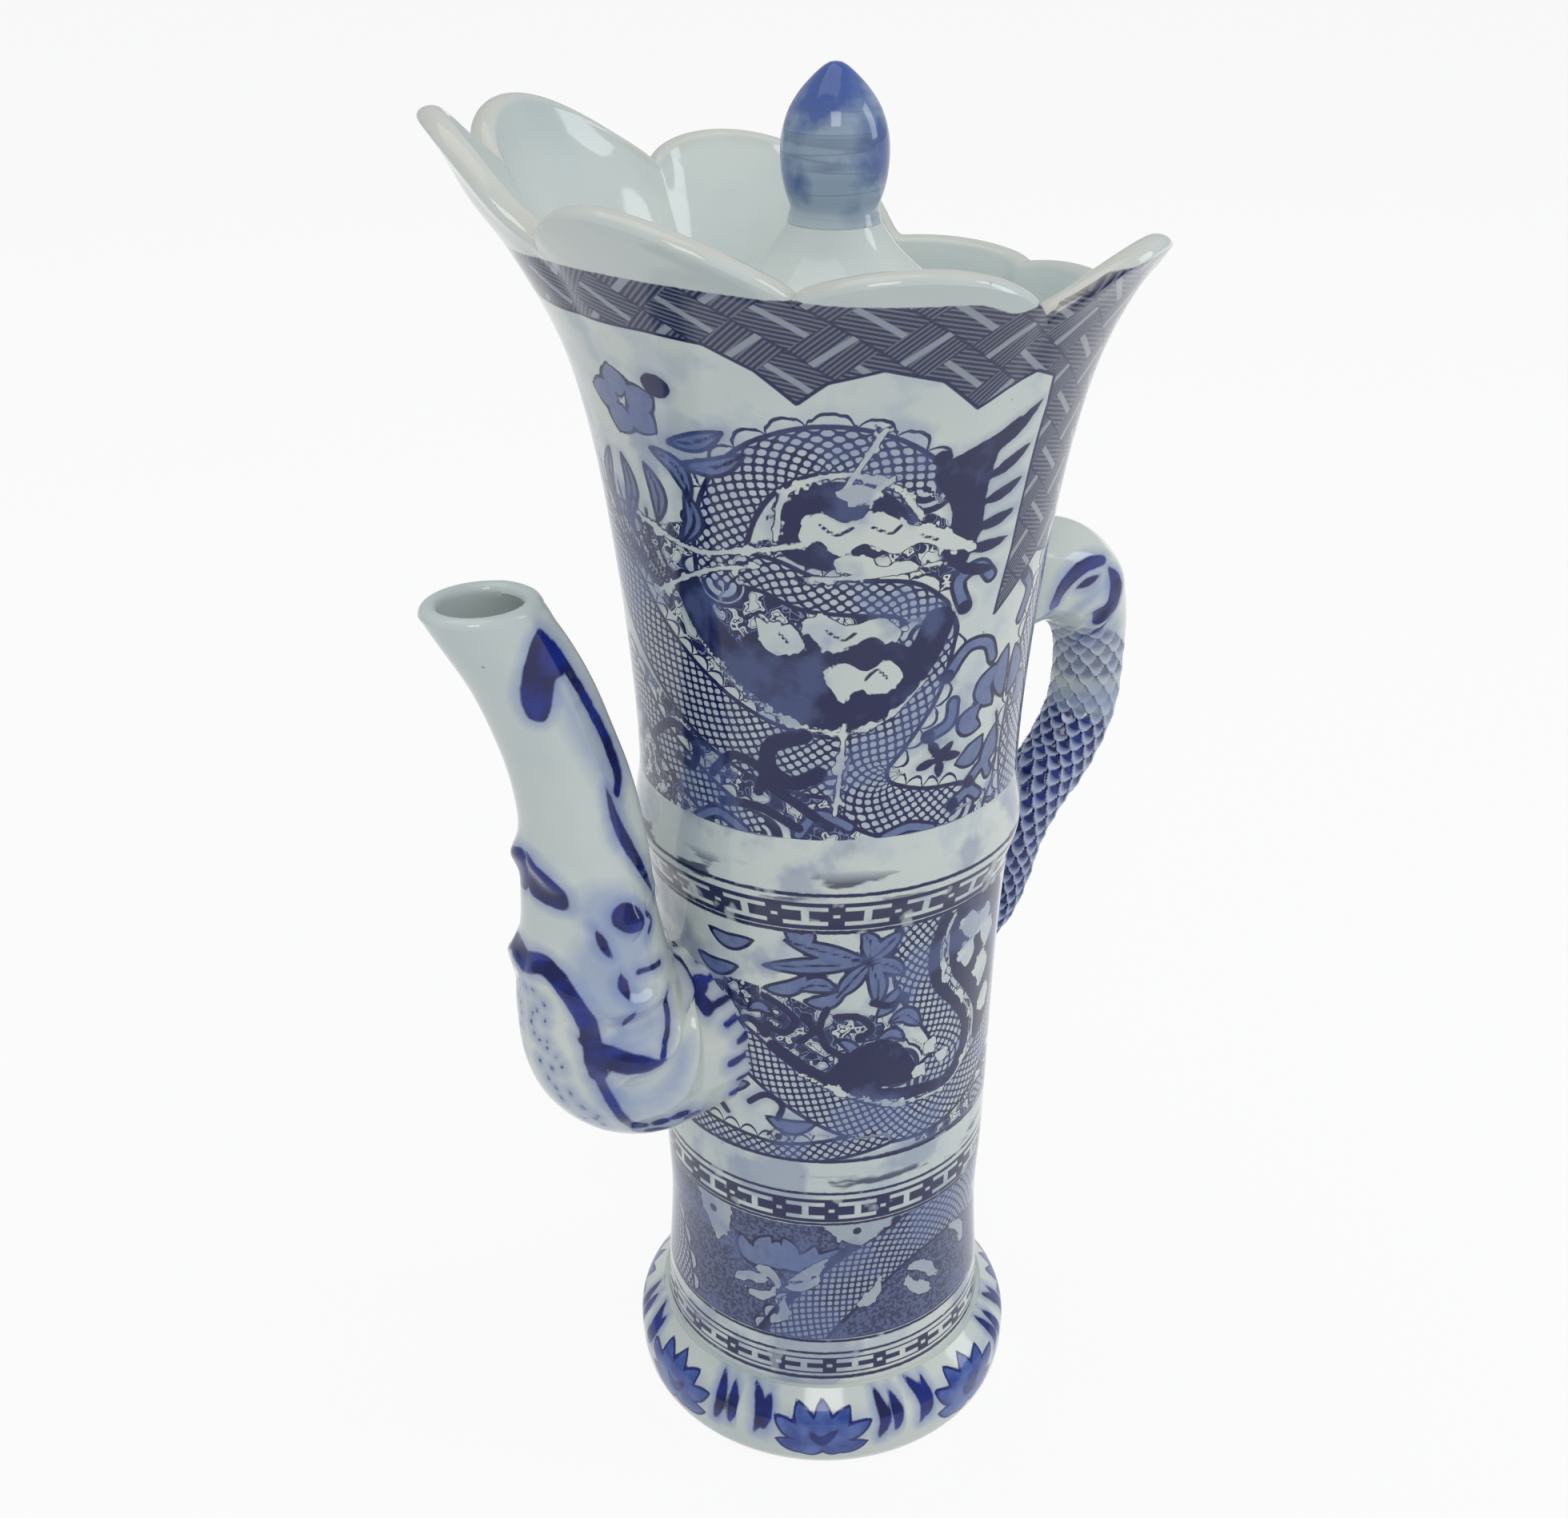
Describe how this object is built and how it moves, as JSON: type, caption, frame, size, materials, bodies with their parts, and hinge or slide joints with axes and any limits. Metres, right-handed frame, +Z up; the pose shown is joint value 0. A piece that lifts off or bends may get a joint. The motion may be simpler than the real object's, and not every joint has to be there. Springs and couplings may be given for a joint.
{
  "type": "porcelain ewer teapot",
  "caption": "Tall hollow porcelain ewer teapot with a petal-cut flared mouth, lift-off domed lid, curved spout on an animal head, and a scaled serpent handle.",
  "frame": {"origin": "on the surface that the pot stands on, at the middle of the box, 2.5 mm in X and 3.9 mm in Y from the pot's upright axis", "axes": "+Z up, parallel to the pot's axis, +X towards the spout, handle along -X"},
  "size_m": [0.1892, 0.136, 0.3182],
  "materials": {
    "clear_glaze": "glossy clear glaze on pale grey-green porcelain",
    "printed_glaze": "glossy glaze over dense cobalt transfer print",
    "painted_glaze": "glossy glaze over hand-painted cobalt on white",
    "cobalt_glaze": "glossy deep cobalt over relief scales",
    "wash_glaze": "glossy glaze over brushed pale cobalt wash"
  },
  "bodies": {
    "pot": {"foot_ring": "painted_glaze", "base_disc": "clear_glaze", "lower_wall": "printed_glaze", "lower_joint_ring": "printed_glaze", "middle_wall": "printed_glaze", "upper_joint_ring": "printed_glaze", "upper_wall": "printed_glaze", "petal_collar": "printed_glaze", "lid_seat": "clear_glaze", "spout_collar": "painted_glaze", "spout_head": "painted_glaze", "spout_tube": "painted_glaze", "handle_head": "painted_glaze", "handle_body": "cobalt_glaze", "handle_tail": "cobalt_glaze"},
    "lid": {"lid_dome": "clear_glaze", "lid_flange": "clear_glaze", "finial": "wash_glaze"}
  },
  "joints": [
    {"name": "lid_lift", "type": "slide", "parent": "pot", "child": "lid", "axis": [0, 0, 1], "range_m": [0, 0.09]}
  ]
}
